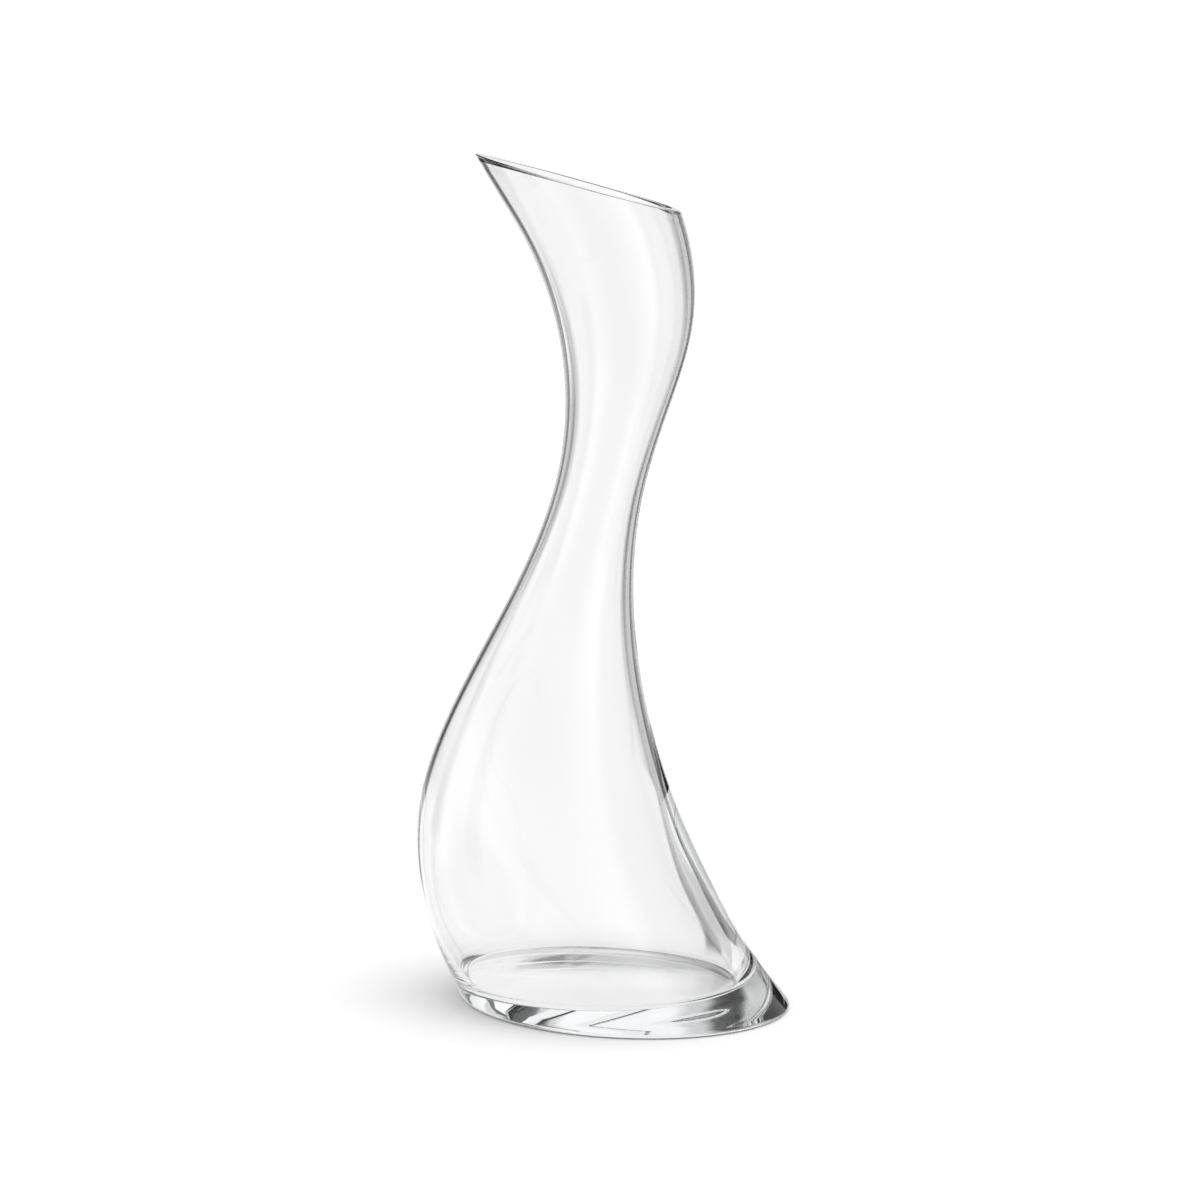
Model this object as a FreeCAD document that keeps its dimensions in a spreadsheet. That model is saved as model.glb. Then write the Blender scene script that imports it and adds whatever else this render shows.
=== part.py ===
"""A one-piece wine decanter of clear glass: a round, weighted base, a leaning bowl, a narrow waist and a
flared head that is cut off on a slant, so that its front edge is the pouring lip.

Every level section of the outside and of the hollow is a circle, and each of the two is one smooth loft
through its sections. The origin is the middle of the face that the decanter stands on, with +Z up and the
lip towards -X. Lengths are in millimetres and angles in degrees.
"""

import FreeCAD, Part
import os

import Sketcher

# Sizes that are set one by one.
DIMENSIONS = {
    "overall_height": 300.0,
    "waist_height": 184.0,
    "base_diameter": 118.2,
    "waist_diameter": 31.8,
    "lip_diameter": 62.8,
    "mouth_slope": 13.5,
    "base_thickness": 7.0,
    "heel_radius": 1.4,
    "floor_radius": 3.0,
    "rim_radius": 0.6,
    "kick_diameter": 86.0,
    "kick_depth": 1.2,
}

# The bowl's sections, from the table to the waist: how far up that stretch each one is, how much of the way
# its diameter has gone from the base's to the waist's, how far its centre leans to the front, and the glass
# at its front and at its back. The hollow's lowest circle lies on the floor, inside the base's own circle.
BOWL_SECTIONS = {
    "base": (0.0, 0.0, 0.0, 0.5, 17.5),
    "heel": (0.076, 0.051, 9.4, 3.4, 9.6),
    "hip": (0.217, 0.139, 22.0, 2.4, 7.6),
    "belly": (0.408, 0.336, 30.8, 2.1, 4.2),
    "shoulder": (0.598, 0.605, 30.3, 2.1, 3.1),
    "stem": (0.788, 0.862, 24.5, 2.2, 2.5),
    "waist": (1.0, 1.0, 16.3, 2.3, 2.1),
}

# The head's sections, from the waist to the tip of the lip, in the same terms. The last one lies above the
# mouth, in the glass that the slanted cut takes off.
HEAD_SECTIONS = {
    "throat": (0.241, 0.145, 11.2, 2.4, 1.9),
    "flare": (0.483, 0.503, 9.5, 2.5, 2.0),
    "crown": (0.741, 0.846, 16.2, 2.5, 2.8),
    "lip": (1.0, 1.0, 32.5, 2.5, 3.2),
    "offcut": (1.103, 0.865, 40.7, 2.5, 3.2),
}

# What a section's five numbers are, in the order of the tables above.
SECTION_SIZES = ("rise", "taper", "lean", "front_wall", "back_wall")

# A sketch's size before its expression sets it.
FIRST_GUESS = 10.0

# The mouth's cutter, in widths of the lip, so that it reaches well past the glass on every side.
CUTTER_WIDTHS = 4

# Two directions closer than this, in radians, are the same.
SAME_DIRECTION = 0.001

UP = FreeCAD.Vector(0, 0, 1)
DOWN = FreeCAD.Vector(0, 0, -1)
ACROSS = FreeCAD.Vector(0, 1, 0)


def write_sizes(doc):
    """The spreadsheet that drives the model: an aliased cell for every dimension and section's size."""
    values = dict(DIMENSIONS)
    for name, numbers in {**BOWL_SECTIONS, **HEAD_SECTIONS}.items():
        for what, value in zip(SECTION_SIZES, numbers):
            values[f"{name}_{what}"] = value
    sheet = doc.addObject("Spreadsheet::Sheet", "sizes")
    for row, (alias, value) in enumerate(values.items(), start=1):
        sheet.set(f"A{row}", alias)
        sheet.set(f"B{row}", str(value))
        sheet.setAlias(f"B{row}", alias)
    doc.recompute()
    return sheet


def section_height(name):
    """The expression for a section's height: a share of the bowl's stretch or of the head's."""
    if name in BOWL_SECTIONS:
        return f"sizes.waist_height * sizes.{name}_rise"
    return f"sizes.waist_height + (sizes.overall_height - sizes.waist_height) * sizes.{name}_rise"


def section_diameter(name):
    """The expression for a section's outside diameter, between the two that end its stretch."""
    start, end = ("base", "waist") if name in BOWL_SECTIONS else ("waist", "lip")
    return f"sizes.{start}_diameter + (sizes.{end}_diameter - sizes.{start}_diameter) * sizes.{name}_taper"


def new_sketch(body, name, role):
    """A sketch that lies in the body's own origin plane of that role."""
    plane = next(plane for plane in body.Origin.OriginFeatures if plane.Role == role)
    sketch = body.newObject("Sketcher::SketchObject", name)
    sketch.AttachmentSupport = [(plane, "")]
    sketch.MapMode = "FlatFace"
    return sketch


def add_size(sketch, name, constraint, expression):
    """Add a constraint whose size is an expression of the sheet."""
    sketch.renameConstraint(sketch.addConstraint(constraint), name)
    sketch.setExpression(f"Constraints.{name}", expression)


def new_circle(body, name, height, lean, diameter):
    """A level circle at a height, with its centre leaning that far to the front."""
    sketch = new_sketch(body, name, "XY_Plane")
    sketch.addGeometry(Part.Circle(FreeCAD.Vector(0, 0, 0), UP, FIRST_GUESS / 2), False)
    sketch.addConstraint(Sketcher.Constraint("Coincident", 0, 3, -1, 1))
    add_size(sketch, "diameter", Sketcher.Constraint("Diameter", 0, FIRST_GUESS), diameter)
    sketch.setExpression(".AttachmentOffset.Base.x", f"-({lean})")
    sketch.setExpression(".AttachmentOffset.Base.z", height)
    return sketch


def new_loft(body, kind, name, circles):
    """A smooth loft through circles, from the lowest one up."""
    loft = body.newObject(kind, name)
    loft.Profile = circles[0]
    loft.Sections = circles[1:]


def add_outside(body):
    """The solid block: a loft through the outside circle of every section."""
    circles = []
    for name in (*BOWL_SECTIONS, *HEAD_SECTIONS):
        height = section_height(name)
        lean = f"sizes.{name}_lean"
        circles.append(new_circle(body, f"{name}_outside", height, lean, section_diameter(name)))
    new_loft(body, "PartDesign::AdditiveLoft", "outside", circles)


def add_hollow(body):
    """The hollow: a loft from the floor up, through circles that leave each section its two walls."""
    circles = []
    for name in (*BOWL_SECTIONS, *HEAD_SECTIONS):
        height = "sizes.base_thickness" if name == "base" else section_height(name)
        lean = f"sizes.{name}_lean + (sizes.{name}_back_wall - sizes.{name}_front_wall) / 2"
        diameter = f"{section_diameter(name)} - sizes.{name}_front_wall - sizes.{name}_back_wall"
        circles.append(new_circle(body, f"{name}_inside", height, lean, diameter))
    new_loft(body, "PartDesign::SubtractiveLoft", "hollow", circles)


def add_mouth(body):
    """The slanted cut: all above a plane through the tip of the lip, which falls towards the back."""
    tip = "sizes.lip_lean + sizes.lip_diameter / 2"
    width = f"sizes.lip_diameter * {CUTTER_WIDTHS}"
    cutter = new_circle(body, "mouth_cutter", "sizes.overall_height", tip, width)
    cutter.AttachmentOffset = FreeCAD.Placement(FreeCAD.Vector(), FreeCAD.Rotation(ACROSS, FIRST_GUESS))
    cutter.setExpression(".AttachmentOffset.Rotation.Angle", "sizes.mouth_slope * 1 deg")
    mouth = body.newObject("PartDesign::Pocket", "mouth")
    mouth.Profile = cutter
    mouth.Type = "ThroughAll"
    mouth.Reversed = True


def add_kick(body):
    """The shallow hollow under the base, which leaves a flat ring to stand on: a cap turned about Z."""
    reach = DIMENSIONS["kick_diameter"] / 2
    depth = DIMENSIONS["kick_depth"]
    centre = FreeCAD.Vector(0, 0, 0)
    edge = FreeCAD.Vector(reach, 0, 0)
    middle = FreeCAD.Vector(reach / 2, depth * 3 / 4, 0)
    crown = FreeCAD.Vector(0, depth, 0)
    sketch = new_sketch(body, "kick_outline", "XZ_Plane")
    sketch.addGeometry(Part.LineSegment(centre, edge), False)
    sketch.addGeometry(Part.Arc(edge, middle, crown), False)
    sketch.addGeometry(Part.LineSegment(crown, centre), False)
    sketch.addConstraint(Sketcher.Constraint("Coincident", 0, 1, -1, 1))
    sketch.addConstraint(Sketcher.Constraint("Horizontal", 0))
    sketch.addConstraint(Sketcher.Constraint("Vertical", 2))
    sketch.addConstraint(Sketcher.Constraint("Coincident", 0, 2, 1, 1))
    sketch.addConstraint(Sketcher.Constraint("Coincident", 1, 2, 2, 1))
    sketch.addConstraint(Sketcher.Constraint("Coincident", 2, 2, 0, 1))
    sketch.addConstraint(Sketcher.Constraint("PointOnObject", 1, 3, -2))
    add_size(sketch, "reach", Sketcher.Constraint("DistanceX", 0, 1, 0, 2, reach), "sizes.kick_diameter / 2")
    add_size(sketch, "depth", Sketcher.Constraint("DistanceY", 2, 2, 2, 1, depth), "sizes.kick_depth")
    kick = body.newObject("PartDesign::Groove", "kick")
    kick.Profile = sketch
    kick.ReferenceAxis = (sketch, ["V_Axis"])
    kick.Angle = 360


def cut_away(body, add_feature):
    """Add a feature that takes glass away, and check that it does."""
    before = body.Shape.Volume
    add_feature(body)
    body.Document.recompute()
    if body.Shape.Volume >= before:
        raise RuntimeError(f"{body.Tip.Name} takes nothing away")


def round_edges(body, name, facing, count):
    """Round the longest edges of the flat face that faces a way, with the radius of that name."""
    shape = body.Shape
    flats = [face for face in shape.Faces if face.Surface.TypeId == "Part::GeomPlane"]
    face = next(flat for flat in flats if flat.normalAt(0, 0).getAngle(facing) < SAME_DIRECTION)
    found = []
    for number, edge in enumerate(shape.Edges, start=1):
        if any(edge.isSame(own) for own in face.Edges):
            found.append((edge.Length, f"Edge{number}"))
    last = body.Tip
    rounding = body.newObject("PartDesign::Fillet", f"{name}_rounding")
    rounding.Base = (last, [edge for length, edge in sorted(found, reverse=True)[:count]])
    rounding.setExpression("Radius", f"sizes.{name}_radius")
    body.Document.recompute()


def make_glass_body(doc, sheet):
    """The whole decanter, which is one piece of glass."""
    body = doc.addObject("PartDesign::Body", "glass_body")
    body.Label = "glass_body"
    body.Placement = FreeCAD.Placement()
    add_outside(body)
    doc.recompute()
    for add_feature in (add_hollow, add_mouth, add_kick):
        cut_away(body, add_feature)
    slanted = FreeCAD.Rotation(ACROSS, sheet.mouth_slope).multVec(UP)
    round_edges(body, "heel", DOWN, 1)
    round_edges(body, "floor", UP, 1)
    round_edges(body, "rim", slanted, 2)
    return body


def check_document(doc, parts):
    """Stop if any object of the document failed, or if a sub-part's shape is missing or not valid."""
    for item in doc.Objects:
        if "Invalid" in item.State or "Error" in item.State:
            raise RuntimeError(f"{item.Name} failed: {item.State}")
    for part in parts:
        if part.Shape.isNull() or not part.Shape.isValid() or len(part.Shape.Solids) != 1:
            raise RuntimeError(f"{part.Label} is not one valid solid")


doc = FreeCAD.newDocument("decanter")
sheet = write_sizes(doc)
parts = [make_glass_body(doc, sheet)]
check_document(doc, parts)
os.makedirs("parts", exist_ok=True)
for part in parts:
    part.Shape.exportStep(f"parts/{part.Label}.step")
    print(f"{part.Label}: {part.Shape.Volume / 1000:.1f} cm3")
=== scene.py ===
"""The looks of a one-piece wine decanter of clear glass, on a plain pale floor in soft studio light."""

import bisect
import math

import bmesh
import bpy
import numpy as np
from mathutils import Matrix, Vector


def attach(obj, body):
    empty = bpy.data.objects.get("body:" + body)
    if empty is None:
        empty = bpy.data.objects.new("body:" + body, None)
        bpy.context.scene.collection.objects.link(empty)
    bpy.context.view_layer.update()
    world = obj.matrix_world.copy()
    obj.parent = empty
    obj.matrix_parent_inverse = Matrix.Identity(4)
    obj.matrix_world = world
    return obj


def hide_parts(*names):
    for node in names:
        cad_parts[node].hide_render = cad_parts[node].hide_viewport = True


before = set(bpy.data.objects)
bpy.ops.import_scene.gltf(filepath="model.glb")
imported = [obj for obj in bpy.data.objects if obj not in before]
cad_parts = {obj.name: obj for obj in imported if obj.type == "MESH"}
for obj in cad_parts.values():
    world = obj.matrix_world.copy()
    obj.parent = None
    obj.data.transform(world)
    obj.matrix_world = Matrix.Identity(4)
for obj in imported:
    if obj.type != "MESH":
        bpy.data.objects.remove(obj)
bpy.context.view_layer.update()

scene = bpy.context.scene

MM = 0.001


# --- The glass: its shape ----------------------------------------------------------------------------

# The level sections of the glass in millimetres: height, how far the centre leans to the front, outside
# diameter, and the glass at the front and at the back.
SECTIONS = (
    (0.0, 0.0, 118.2, 0.5, 17.5),
    (14.0, 9.4, 113.8, 3.4, 9.6),
    (40.0, 22.0, 106.2, 2.4, 7.6),
    (75.0, 30.8, 89.2, 2.1, 4.2),
    (110.0, 30.3, 65.9, 2.1, 3.1),
    (145.0, 24.5, 43.7, 2.2, 2.5),
    (184.0, 16.3, 31.8, 2.3, 2.1),
    (212.0, 11.2, 36.3, 2.4, 1.9),
    (240.0, 9.5, 47.4, 2.5, 2.0),
    (270.0, 16.2, 58.0, 2.5, 2.8),
    (300.0, 32.5, 62.8, 2.5, 3.2),
    (312.0, 40.7, 58.6, 2.5, 3.2),
)

HEIGHT = 300.0 * MM
MOUTH_SLOPE = math.radians(13.5)
BASE_THICKNESS = 7.0 * MM
HEEL_RADIUS = 1.4 * MM
FLOOR_RADIUS = 3.0 * MM
RIM_RADIUS = 0.6 * MM
KICK_RADIUS = 43.0 * MM
KICK_DEPTH = 1.2 * MM
# The faint bead that fire polishing leaves on the outside, below the edge of the mouth.
BEAD_DROP = 4.3 * MM
BEAD_SPREAD = 1.0 * MM
BEAD_DEPTH = 0.025 * MM

# How many edges a ring has, and how many rings each stretch of the skin has.
SEGMENTS = 240
KICK_RINGS = 12
FOOT_RINGS = 3
ROUNDING_RINGS = 8
WALL_RINGS = 110
RIM_RINGS = 20
FLOOR_RINGS = 12
RIM_SEGMENTS = 4
# The stretch below the mouth with closer rings.
RIM_ZONE = 9.0 * MM
# The height from which the rings turn from level towards the mouth's slope, how late in that stretch they do
# most of it, and how many steps find the height of a turned ring's point.
SLANT_FROM = 215.0 * MM
SLANT_GROWTH = 1.5
SLANT_STEPS = 6


def shares(count):
    """Even steps up to 1."""
    return [step / count for step in range(1, count + 1)]


def natural_spline(knots, values):
    """The second derivatives at the knots of a smooth curve through the values, with free ends."""
    gaps = np.diff(knots)
    rises = np.diff(values) / gaps
    matrix = np.diag(2 * (gaps[:-1] + gaps[1:])) + np.diag(gaps[1:-1], 1) + np.diag(gaps[1:-1], -1)
    inner = np.linalg.solve(matrix, 6 * np.diff(rises))
    return np.concatenate(([0.0], inner, [0.0]))


class Smooth:
    """A smooth curve of one size over the height."""

    def __init__(self, knots, values):
        self.knots = list(map(float, knots))
        self.values = list(map(float, values))
        self.bends = list(map(float, natural_spline(np.array(knots), np.array(values))))

    def __call__(self, height):
        low = min(max(bisect.bisect_left(self.knots, height) - 1, 0), len(self.knots) - 2)
        gap = self.knots[low + 1] - self.knots[low]
        up = (height - self.knots[low]) / gap
        down = 1 - up
        line = down * self.values[low] + up * self.values[low + 1]
        curve = (down**3 - down) * self.bends[low] + (up**3 - up) * self.bends[low + 1]
        return line + curve * gap**2 / 6


class Skin:
    """A stack of level circles: the outside of the glass, or the inside."""

    def __init__(self, heights, centres, radii):
        self.centre = Smooth(heights, centres)
        self.radius = Smooth(heights, radii)

    def point(self, height, angle, inset=0.0):
        """The skin's point at a height, at an angle about that height's centre."""
        reach = self.radius(height) - inset
        return Vector((self.centre(height) + reach * math.cos(angle), reach * math.sin(angle), height))

    def disc_point(self, level, radius, height, point):
        """The point at a radius about the centre of a level, in the same direction as a given point."""
        centre = self.centre(level)
        angle = math.atan2(point.y, point.x - centre)
        return Vector((centre + radius * math.cos(angle), radius * math.sin(angle), height))

    def angle(self, point):
        """The angle of a point about the centre of its height."""
        return math.atan2(point.y, point.x - self.centre(point.z))


table = np.array(SECTIONS) * MM
heights, lean, diameter, front_wall, back_wall = table.T
outside = Skin(heights, -lean, diameter / 2)
floor_heights = heights.copy()
floor_heights[0] = BASE_THICKNESS
inside = Skin(floor_heights, -lean + (front_wall - back_wall) / 2, (diameter - front_wall - back_wall) / 2)
tip = outside.point(HEIGHT, math.pi)


def wall_heights(low):
    """Heights for the wall's rings, from above a low one up to the mouth, closer near the mouth."""
    zone = HEIGHT - RIM_ZONE
    wall = [low + (zone - low) * share for share in shares(WALL_RINGS)]
    return wall + [zone + RIM_ZONE * share for share in shares(RIM_RINGS)]


def bead(height):
    """How far the bead stands out of the wall at a height."""
    return BEAD_DEPTH * math.exp(-(((HEIGHT - BEAD_DROP - height) / BEAD_SPREAD) ** 2))


def slanted(skin, height, angle):
    """The skin's point on a ring that turns from level to the mouth's slope as its height grows."""
    if height <= SLANT_FROM:
        return skin.point(height, angle)
    inset = -bead(height) if skin is outside else 0.0
    share = ((height - SLANT_FROM) / (HEIGHT - SLANT_FROM)) ** SLANT_GROWTH
    fall = share * math.tan(MOUTH_SLOPE)
    lowered = height
    for _ in range(SLANT_STEPS):
        point = skin.point(lowered, angle)
        lowered = height - fall * (point.x - tip.x)
    return skin.point(lowered, angle, inset)


def grow_ring(bm, edges, place):
    """Extrude a ring of edges, put each new vertex where place says, and return the new ring."""
    grown = bmesh.ops.extrude_edge_only(bm, edges=edges)["geom"]
    for vert in grown:
        if isinstance(vert, bmesh.types.BMVert):
            vert.co = place(vert.co)
    return [item for item in grown if isinstance(item, bmesh.types.BMEdge) and item.is_boundary]


def make_glass():
    """The glass as one closed mesh: out under the base, up the outside, over the rim and down the inside."""
    bm = bmesh.new()
    bmesh.ops.create_circle(bm, segments=SEGMENTS, radius=KICK_RADIUS / KICK_RINGS)
    bmesh.ops.translate(bm, verts=bm.verts, vec=(0, 0, KICK_DEPTH))
    ring = list(bm.edges)

    def grow(place):
        nonlocal ring
        ring = grow_ring(bm, ring, place)

    # Under the base: the shallow kick, then the flat ring that the decanter stands on.
    for step in range(2, KICK_RINGS + 1):
        radius = KICK_RADIUS * step / KICK_RINGS
        height = KICK_DEPTH * (1 - (radius / KICK_RADIUS) ** 2)
        grow(lambda co: outside.disc_point(0, radius, height, co))
    for share in shares(FOOT_RINGS):
        radius = KICK_RADIUS + (outside.radius(0) - HEEL_RADIUS - KICK_RADIUS) * share
        grow(lambda co: outside.disc_point(0, radius, 0, co))
    # The heel's rounding and the outside, up to the mouth.
    for share in shares(ROUNDING_RINGS):
        turn = share * math.pi / 2
        height = HEEL_RADIUS * (1 - math.cos(turn))
        inset = HEEL_RADIUS * (1 - math.sin(turn))
        grow(lambda co: outside.point(height, outside.angle(co), inset))
    for height in wall_heights(HEEL_RADIUS):
        grow(lambda co: slanted(outside, height, outside.angle(co)))
    # Over the flat of the mouth's cut, whose two edges are polished round once the whole skin is made.
    rim = list(ring)
    floor_top = BASE_THICKNESS + FLOOR_RADIUS
    for height in (*reversed(wall_heights(floor_top)), floor_top):
        grow(lambda co: slanted(inside, height, inside.angle(co)))
        if height == HEIGHT:
            rim += ring
    # The floor's rounding and the floor itself, to its middle.
    for share in shares(ROUNDING_RINGS):
        turn = share * math.pi / 2
        height = floor_top - FLOOR_RADIUS * math.sin(turn)
        inset = FLOOR_RADIUS * (1 - math.cos(turn))
        grow(lambda co: inside.point(height, inside.angle(co), inset))
    floor_reach = inside.radius(BASE_THICKNESS) - FLOOR_RADIUS
    for step in range(1, FLOOR_RINGS):
        radius = floor_reach * (1 - step / FLOOR_RINGS)
        grow(lambda co: inside.disc_point(BASE_THICKNESS, radius, BASE_THICKNESS, co))
    bmesh.ops.bevel(
        bm, geom=rim, offset=RIM_RADIUS, offset_type="OFFSET", segments=RIM_SEGMENTS, profile=0.5,
        affect="EDGES", material=-1,
    )
    # The middle of the kick and of the floor are closed with fans of triangles.
    caps = bmesh.ops.holes_fill(bm, edges=[edge for edge in bm.edges if edge.is_boundary], sides=0)["faces"]
    bmesh.ops.poke(bm, faces=caps)
    bmesh.ops.recalc_face_normals(bm, faces=bm.faces)
    for face in bm.faces:
        face.smooth = True
    mesh = bpy.data.meshes.new("decanter_glass")
    bm.to_mesh(mesh)
    bm.free()
    piece = bpy.data.objects.new("decanter_glass", mesh)
    bpy.context.collection.objects.link(piece)
    return piece


# --- The glass: its finish ---------------------------------------------------------------------------

GLASS_IOR = 1.51
# What the depth of the glass lets through, and how strongly it takes the rest away, per metre.
DEPTH_COLOR = (0.84, 0.90, 0.94, 1)
DEPTH_DENSITY = 1.8
# How long the slow waves of the blown wall are, and how high.
WAVE_LENGTH = 38.0 * MM
WAVE_HEIGHT = 0.05 * MM
# How high the wear of the foot reaches, the size of its fine scratches, which of them show, and how matt.
WEAR_HEIGHT = 1.0 * MM
SCRATCH_SIZE = 0.6 * MM
SCRATCH_RANGE = (0.52, 0.7)
WORN_ROUGHNESS = 0.3


def add_node(tree, kind, **settings):
    """Add a node with these values in its sockets."""
    node = tree.nodes.new(kind)
    for name, value in settings.items():
        node.inputs[name].default_value = value
    return node


def glass_material():
    """Clear glass: slow waves from blowing, cool grey in its depth, and a foot with fine scratches."""
    material = bpy.data.materials.new("clear_glass")
    material.use_nodes = True
    tree = material.node_tree
    shader = tree.nodes["Principled BSDF"]
    shader.inputs["Base Color"].default_value = (1, 1, 1, 1)
    shader.inputs["Transmission Weight"].default_value = 1.0
    shader.inputs["IOR"].default_value = GLASS_IOR
    place = tree.nodes.new("ShaderNodeTexCoord").outputs["Object"]
    waves = add_node(tree, "ShaderNodeTexNoise", Scale=1 / WAVE_LENGTH, Detail=1.0, Roughness=0.4)
    tree.links.new(place, waves.inputs["Vector"])
    bump = add_node(tree, "ShaderNodeBump", Strength=1.0, Distance=WAVE_HEIGHT)
    tree.links.new(waves.outputs["Fac"], bump.inputs["Height"])
    tree.links.new(bump.outputs["Normal"], shader.inputs["Normal"])
    parts = tree.nodes.new("ShaderNodeSeparateXYZ")
    tree.links.new(place, parts.inputs[0])
    foot = add_node(tree, "ShaderNodeMapRange", **{"From Min": WEAR_HEIGHT, "From Max": 0.0})
    tree.links.new(parts.outputs["Z"], foot.inputs["Value"])
    scratches = add_node(tree, "ShaderNodeTexNoise", Scale=1 / SCRATCH_SIZE, Detail=3.0, Distortion=2.0)
    tree.links.new(place, scratches.inputs["Vector"])
    marks = add_node(tree, "ShaderNodeMapRange", **{"To Max": WORN_ROUGHNESS})
    marks.inputs["From Min"].default_value, marks.inputs["From Max"].default_value = SCRATCH_RANGE
    tree.links.new(scratches.outputs["Fac"], marks.inputs["Value"])
    wear = tree.nodes.new("ShaderNodeMath")
    wear.operation = "MULTIPLY"
    tree.links.new(foot.outputs["Result"], wear.inputs[0])
    tree.links.new(marks.outputs["Result"], wear.inputs[1])
    tree.links.new(wear.outputs[0], shader.inputs["Roughness"])
    depth = add_node(tree, "ShaderNodeVolumeAbsorption", Color=DEPTH_COLOR, Density=DEPTH_DENSITY)
    tree.links.new(depth.outputs[0], tree.nodes["Material Output"].inputs["Volume"])
    return material


glass = make_glass()
glass.data.materials.append(glass_material())
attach(glass, "root")
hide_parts("glass_body")


# --- The studio --------------------------------------------------------------------------------------

STUDIO_LIGHT = 1.28
# The floor lies this far below the foot, so that the two never share a plane.
FLOOR_LEVEL = -0.4 * MM
FLOOR_REACH = 30.0
FLOOR_COLOR = (0.93, 0.93, 0.93, 1)
TENT_LIGHT = 1.0
# Radius and height of the tent's cloth, from its middle under the decanter to the middle of its roof.
TENT_PROFILE = (
    (0, -0.2 * MM), (1120 * MM, -0.2 * MM), (1180 * MM, 20 * MM), (1200 * MM, 80 * MM),
    (1200 * MM, 1500 * MM), (0, 1500 * MM),
)
# The tent's dark zones, in millimetres and degrees: where on the X axis a zone is measured from, its bearing
# from there, the half width that is fully dark, the half width with its soft edge, where it starts and ends,
# and how dark it is.
TENT_ZONES = (
    (-75, 112, 2, 5, 90, 420, 0.75),
    (-75, 115, 5, 10, 480, 1150, 0.85),
    (0, 118, 4, 7, 1150, 3000, 0.8),
    (0, 130, 24, 29, 1150, 3000, 0.5),
    (20, 65, 4, 7, 60, 1150, 0.9),
    (0, 66, 5, 8, 430, 3000, 0.8),
    (0, 50, 24, 29, 430, 3000, 0.35),
    (0, 157.5, 4, 10, 450, 3000, 0.55),
    (0, 202.5, 4, 10, 450, 3000, 0.55),
    (0, 0, 22, 34, 100, 3000, 0.85),
    (0, 265, 10, 50, 100, 3000, 0.5),
    (0, 0, 179, 180, -100, 40, 0.12),
)
TENT_SOFTNESS = 80 * MM
# The heights between which the tent turns from white to dim, and how much light it loses there.
TENT_DIMS = (450 * MM, 700 * MM)
TENT_ROOF_LOSS = 0.55
TENT_STEPS = 96

CAMERA_TARGET = Vector((-14.6, 0, 144.1)) * MM
CAMERA_TILT = math.radians(8.1)
CAMERA_ROLL = math.radians(2.06)
CAMERA_DISTANCE = 1450 * MM
CAMERA_LENS = 122.757
SENSOR_WIDTH = 36.0

# Enough for light to cross the many inner reflections of the base.
GLASS_BOUNCES = 24
GLOSSY_BOUNCES = 12


def new_material(name):
    """A material that is made of nodes."""
    material = bpy.data.materials.new(name)
    material.use_nodes = True
    return material


def make_floor():
    """A plain pale floor that reaches past every edge of the view."""
    bm = bmesh.new()
    bmesh.ops.create_circle(bm, cap_ends=True, segments=64, radius=FLOOR_REACH)
    bmesh.ops.translate(bm, verts=bm.verts, vec=(0, 0, FLOOR_LEVEL))
    mesh = bpy.data.meshes.new("floor")
    bm.to_mesh(mesh)
    bm.free()
    floor = bpy.data.objects.new("floor", mesh)
    bpy.context.collection.objects.link(floor)
    material = new_material("pale_floor")
    shader = material.node_tree.nodes["Principled BSDF"]
    shader.inputs["Base Color"].default_value = FLOOR_COLOR
    shader.inputs["Roughness"].default_value = 0.9
    shader.inputs["Specular IOR Level"].default_value = 0.0
    mesh.materials.append(material)


def make_tent():
    """The light tent round the decanter, which only the glass sees: white, with flags that draw its edges."""
    bm = bmesh.new()
    start = bmesh.ops.create_vert(bm, co=(TENT_PROFILE[0][0], 0, TENT_PROFILE[0][1]))["vert"][0]
    profile = [start]
    for radius, height in TENT_PROFILE[1:]:
        profile.append(bmesh.ops.create_vert(bm, co=(radius, 0, height))["vert"][0])
    line = [bm.edges.new(pair) for pair in zip(profile, profile[1:])]
    bmesh.ops.spin(
        bm, geom=profile + line, cent=(0, 0, 0), axis=(0, 0, 1), dvec=(0, 0, 0), angle=math.tau,
        steps=TENT_STEPS, use_merge=True,
    )
    bmesh.ops.remove_doubles(bm, verts=bm.verts, dist=0.01 * MM)
    mesh = bpy.data.meshes.new("light_tent")
    bm.to_mesh(mesh)
    bm.free()
    tent = bpy.data.objects.new("light_tent", mesh)
    bpy.context.collection.objects.link(tent)
    tent.visible_camera = False
    tent.visible_diffuse = False
    tent.visible_shadow = False
    mesh.materials.append(tent_material())


def add_math(tree, operation, first, second=0.0):
    """Add a node that does that sum, of values that are numbers or other nodes' outputs."""
    node = tree.nodes.new("ShaderNodeMath")
    node.operation = operation
    for socket, value in zip(node.inputs, (first, second)):
        if isinstance(value, (int, float)):
            socket.default_value = value
        else:
            tree.links.new(value, socket)
    return node.outputs[0]


def soft_step(tree, value, low, high):
    """Rise softly from 0 to 1 as a value goes from low to high."""
    node = tree.nodes.new("ShaderNodeMapRange")
    node.interpolation_type = "SMOOTHSTEP"
    tree.links.new(value, node.inputs["Value"])
    node.inputs["From Min"].default_value = low
    node.inputs["From Max"].default_value = high
    return node.outputs["Result"]


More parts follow.
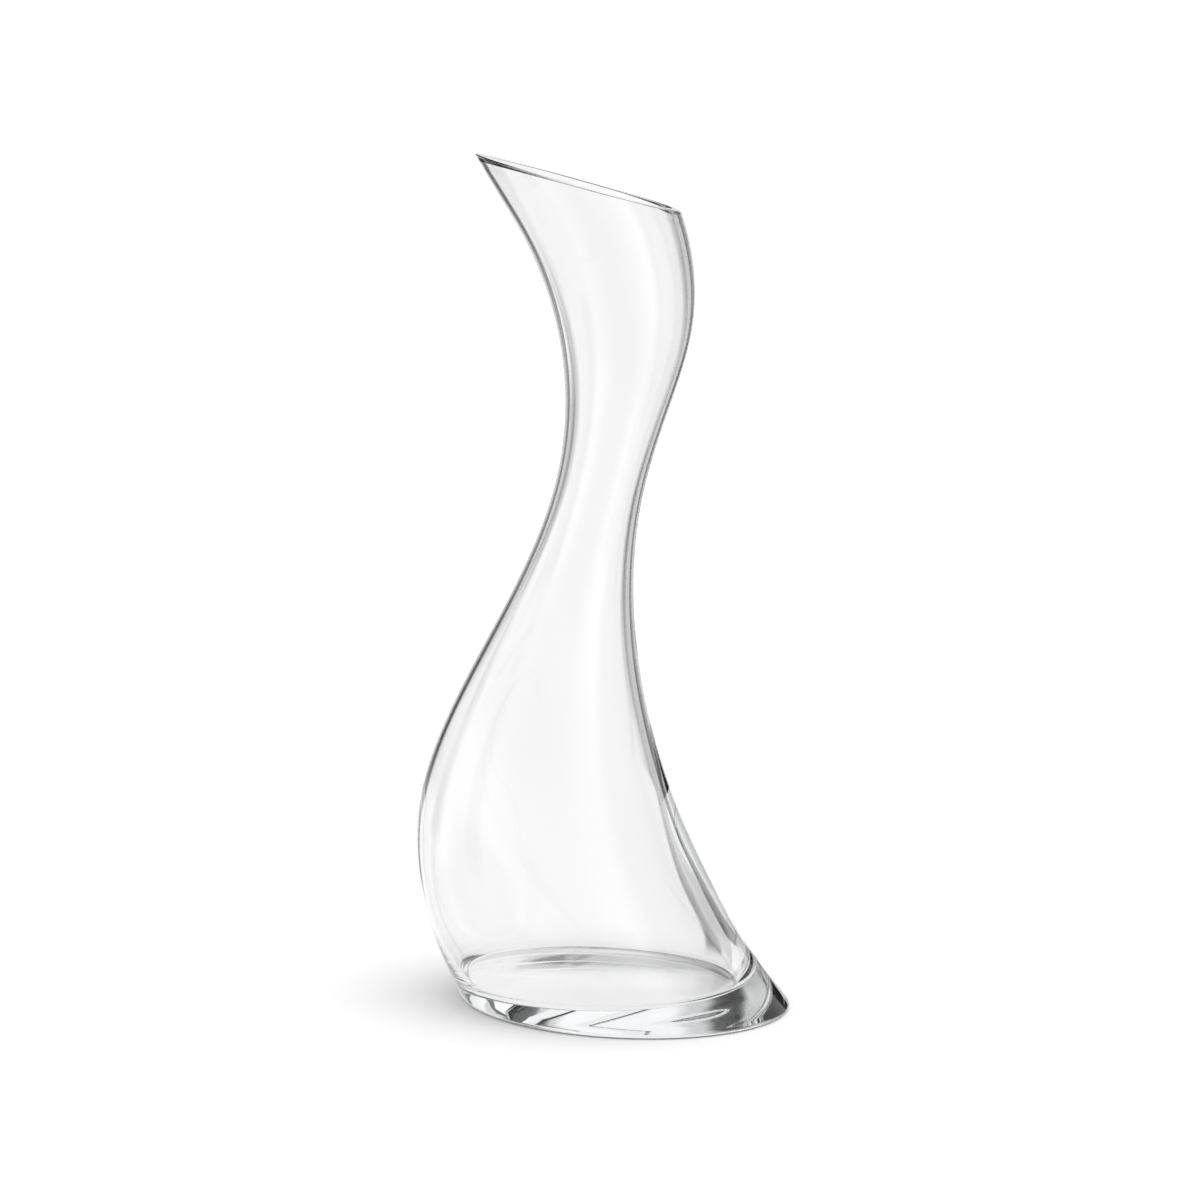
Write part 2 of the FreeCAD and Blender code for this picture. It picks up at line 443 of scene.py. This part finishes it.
def tent_material():
    """The tent's white light, which is dimmer in the roof and in each dark zone."""
    material = new_material("tent_white")
    material.cycles.emission_sampling = "NONE"
    tree = material.node_tree
    tree.nodes.remove(tree.nodes["Principled BSDF"])
    place = tree.nodes.new("ShaderNodeTexCoord").outputs["Object"]
    parts = tree.nodes.new("ShaderNodeSeparateXYZ")
    tree.links.new(place, parts.inputs[0])

    def dark_zone(middle, bearing, full, soft, near, far):
        """How dark a zone is: 1 in it, falling softly to 0 outside it."""
        ahead = add_math(tree, "SUBTRACT", parts.outputs["X"], middle)
        angle = add_math(tree, "ARCTAN2", parts.outputs["Y"], ahead)
        aside = add_math(tree, "COSINE", add_math(tree, "SUBTRACT", angle, math.radians(bearing)))
        within = soft_step(tree, aside, math.cos(math.radians(soft)), math.cos(math.radians(full)))
        ahead_square = add_math(tree, "POWER", ahead, 2.0)
        across_square = add_math(tree, "POWER", parts.outputs["Y"], 2.0)
        reach = add_math(tree, "SQRT", add_math(tree, "ADD", ahead_square, across_square))
        started = soft_step(tree, reach, near, near + TENT_SOFTNESS)
        ended = soft_step(tree, reach, far + TENT_SOFTNESS, far)
        return add_math(tree, "MULTIPLY", within, add_math(tree, "MULTIPLY", started, ended))

    high = soft_step(tree, parts.outputs["Z"], *TENT_DIMS)
    light = add_math(tree, "SUBTRACT", TENT_LIGHT, add_math(tree, "MULTIPLY", high, TENT_ROOF_LOSS))
    for middle, bearing, full, soft, near, far, depth in TENT_ZONES:
        zone = dark_zone(middle * MM, bearing, full, soft, near * MM, far * MM)
        kept = add_math(tree, "SUBTRACT", 1.0, add_math(tree, "MULTIPLY", zone, depth))
        light = add_math(tree, "MULTIPLY", light, kept)
    emission = tree.nodes.new("ShaderNodeEmission")
    tree.links.new(light, emission.inputs["Strength"])
    tree.links.new(emission.outputs[0], tree.nodes["Material Output"].inputs["Surface"])
    return material


def make_world():
    """Even white light from all round."""
    world = bpy.data.worlds.new("studio")
    world.use_nodes = True
    scene.world = world
    background = world.node_tree.nodes["Background"]
    background.inputs["Color"].default_value = (1, 1, 1, 1)
    background.inputs["Strength"].default_value = STUDIO_LIGHT


def make_camera():
    """A camera in front of the decanter, a little above it and turned a little about its own axis."""
    back = Vector((0, -math.cos(CAMERA_TILT), math.sin(CAMERA_TILT)))
    right = Vector((1, 0, 0))
    up = back.cross(right)
    right_rolled = math.cos(CAMERA_ROLL) * right + math.sin(CAMERA_ROLL) * up
    up_rolled = math.cos(CAMERA_ROLL) * up - math.sin(CAMERA_ROLL) * right
    turn = Matrix((right_rolled, up_rolled, back)).transposed()
    data = bpy.data.cameras.new("camera")
    data.sensor_width = SENSOR_WIDTH
    data.lens = CAMERA_LENS
    camera = bpy.data.objects.new("camera", data)
    bpy.context.collection.objects.link(camera)
    camera.matrix_world = Matrix.Translation(CAMERA_TARGET + CAMERA_DISTANCE * back) @ turn.to_4x4()
    scene.camera = camera


make_floor()
make_tent()
make_world()
make_camera()
scene.view_settings.view_transform = "Standard"
scene.cycles.max_bounces = GLASS_BOUNCES
scene.cycles.transmission_bounces = GLASS_BOUNCES
scene.cycles.glossy_bounces = GLOSSY_BOUNCES
